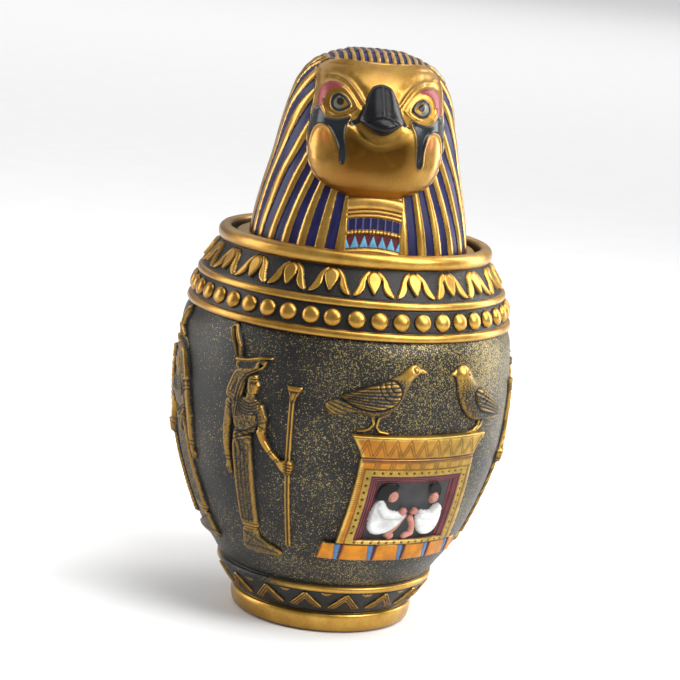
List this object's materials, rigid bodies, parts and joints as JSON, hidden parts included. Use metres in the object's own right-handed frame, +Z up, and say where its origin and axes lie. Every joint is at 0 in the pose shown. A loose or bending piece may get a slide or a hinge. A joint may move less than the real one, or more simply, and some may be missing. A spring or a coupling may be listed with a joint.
{
  "type": "canopic jar",
  "caption": "Egyptian-style canopic jar in painted cast resin: hollow barrel body with relief figures and gilded bands, and a lift-off falcon head lid",
  "frame": {"origin": "centre of the underside of the foot", "axes": "+Z up along the jar's axis, the falcon's face and beak towards -Y, +X to the right of someone who looks at the face"},
  "size_m": [0.1437, 0.147, 0.24],
  "materials": {
    "dark_resin": "graphite-painted cold-cast resin with gold dry-brushed grain, gilded bands and satin lacquer",
    "gold_paint": "antique gold paint over cold-cast resin, with navy, black, turquoise and rose details under satin lacquer"
  },
  "bodies": {
    "root": {"jar": "dark_resin", "lid": "gold_paint"}
  },
  "joints": []
}
